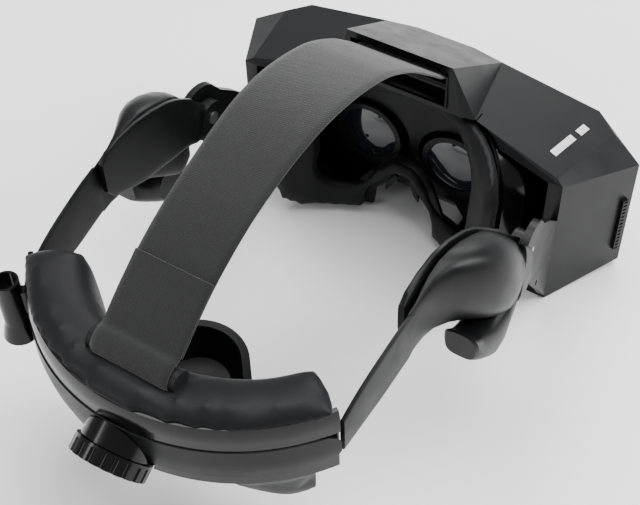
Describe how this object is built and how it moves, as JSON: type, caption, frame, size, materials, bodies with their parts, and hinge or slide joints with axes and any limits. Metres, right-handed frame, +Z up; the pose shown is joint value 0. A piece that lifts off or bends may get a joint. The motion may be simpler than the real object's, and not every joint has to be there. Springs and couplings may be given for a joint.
{
  "type": "vr headset",
  "caption": "Wide faceted VR headset with hinged ear-speaker arms, a padded rear cradle on a size dial and a top strap.",
  "frame": {"origin": "middle of the visor's widest line, at the height of its upper side corners", "axes": "+X to the wearer's left, +Y from the visor to the rear cradle, +Z up"},
  "size_m": [0.282, 0.3773, 0.2004],
  "materials": {
    "housing_plastic": "fine matte texture",
    "black_plastic": "satin",
    "gloss_black": "gloss",
    "foam": "knit over foam",
    "rubber": "matte",
    "steel": "brushed",
    "acetal": "satin",
    "webbing": "woven loop",
    "silver_plastic": "satin",
    "circuit_board": "solder mask",
    "display_glass": "polished",
    "lens_glass": "coated",
    "sensor_window": "gloss",
    "speaker": "satin"
  },
  "bodies": {
    "visor": {"front_shell": "housing_plastic", "rear_housing": "black_plastic", "light_shield": "gloss_black", "face_frame": "black_plastic", "face_cushion": "foam", "nose_guard": "rubber", "strap_bracket": "black_plastic", "bracket_bar": "black_plastic", "hinge_ear_left": "black_plastic", "hinge_ear_right": "black_plastic", "hinge_pins": "steel", "ear_screws": "steel", "display_carrier": "black_plastic", "display_panels": "display_glass", "main_board": "circuit_board", "tracking_sensors": "sensor_window", "cable_inlet": "steel", "headphone_jack": "steel", "side_vents": "black_plastic", "button_board": "circuit_board", "lens_rails": "steel", "top_strap": "webbing"},
    "arms": {"arm_plate_left": "black_plastic", "arm_plate_right": "black_plastic", "arm_shell_left": "black_plastic", "arm_shell_right": "black_plastic", "speaker_driver_left": "speaker", "speaker_driver_right": "speaker", "speaker_grille_left": "black_plastic", "speaker_grille_right": "black_plastic", "band_left": "rubber", "band_right": "rubber"},
    "cradle": {"cradle_shell": "black_plastic", "cradle_backing": "gloss_black", "rear_cushion": "foam", "neck_cradle": "foam", "neck_dish": "black_plastic", "strap_anchor": "foam", "cable_clip": "gloss_black", "dial_collar": "gloss_black", "strap_end": "webbing"},
    "dial": {"size_dial": "gloss_black"},
    "rack_unit_left": {"rack_left": "acetal"},
    "rack_unit_right": {"rack_right": "acetal"},
    "power_key": {"power_button": "silver_plastic"},
    "volume_key": {"volume_rocker": "silver_plastic"},
    "lens_unit_left": {"lens_carriage_left": "black_plastic", "lens_left": "lens_glass"},
    "lens_unit_right": {"lens_carriage_right": "black_plastic", "lens_right": "lens_glass"},
    "lens_wheel": {"ipd_wheel": "black_plastic"}
  },
  "joints": [
    {"name": "arm_tilt", "type": "hinge", "parent": "visor", "child": "arms", "pos_m": [0, 0.1, 0.002], "axis": [1, 0, 0], "range_deg": [-8, 20], "deforming": ["top_strap"]},
    {"name": "size_slide", "type": "slide", "parent": "arms", "child": "cradle", "axis": [0, 1, 0], "range_m": [-0.008, 0.008], "deforming": ["band_left", "band_right", "top_strap"]},
    {"name": "dial_spin", "type": "hinge", "parent": "cradle", "child": "dial", "pos_m": [0, 0.3235, 0.0087], "axis": [0, 0.848, -0.5299], "range_deg": [-120, 120]},
    {"name": "rack_left_run", "type": "hinge", "parent": "cradle", "child": "rack_unit_left", "pos_m": [0, 0.209, 0], "axis": [0, 0, 1], "range_deg": [-5, 5]},
    {"name": "rack_right_run", "type": "hinge", "parent": "cradle", "child": "rack_unit_right", "pos_m": [0, 0.209, 0], "axis": [0, 0, 1], "range_deg": [-5, 5]},
    {"name": "lens_left_slide", "type": "slide", "parent": "visor", "child": "lens_unit_left", "axis": [1, 0, 0], "range_m": [-0.004, 0.004]},
    {"name": "lens_right_slide", "type": "slide", "parent": "visor", "child": "lens_unit_right", "axis": [-1, 0, 0], "range_m": [-0.004, 0.004]},
    {"name": "lens_wheel_spin", "type": "hinge", "parent": "visor", "child": "lens_wheel", "pos_m": [0, 0, -0.077], "axis": [0, 1, 0], "range_deg": [-58, 58]},
    {"name": "power_press", "type": "slide", "parent": "visor", "child": "power_key", "axis": [0.2616, 0, -0.9652], "range_m": [0, 0.0006], "stiffness_N_per_m": 400},
    {"name": "volume_press", "type": "slide", "parent": "visor", "child": "volume_key", "axis": [0.2616, 0, -0.9652], "range_m": [0, 0.0006], "stiffness_N_per_m": 400}
  ],
  "couplings": [
    {"joint": "dial_spin", "follows": "size_slide", "rad_per_m": 256.41},
    {"joint": "rack_left_run", "follows": "size_slide", "rad_per_m": -9.066},
    {"joint": "rack_right_run", "follows": "size_slide", "rad_per_m": 9.066},
    {"joint": "lens_right_slide", "follows": "lens_left_slide", "ratio": 1},
    {"joint": "lens_wheel_spin", "follows": "lens_left_slide", "rad_per_m": 240}
  ]
}
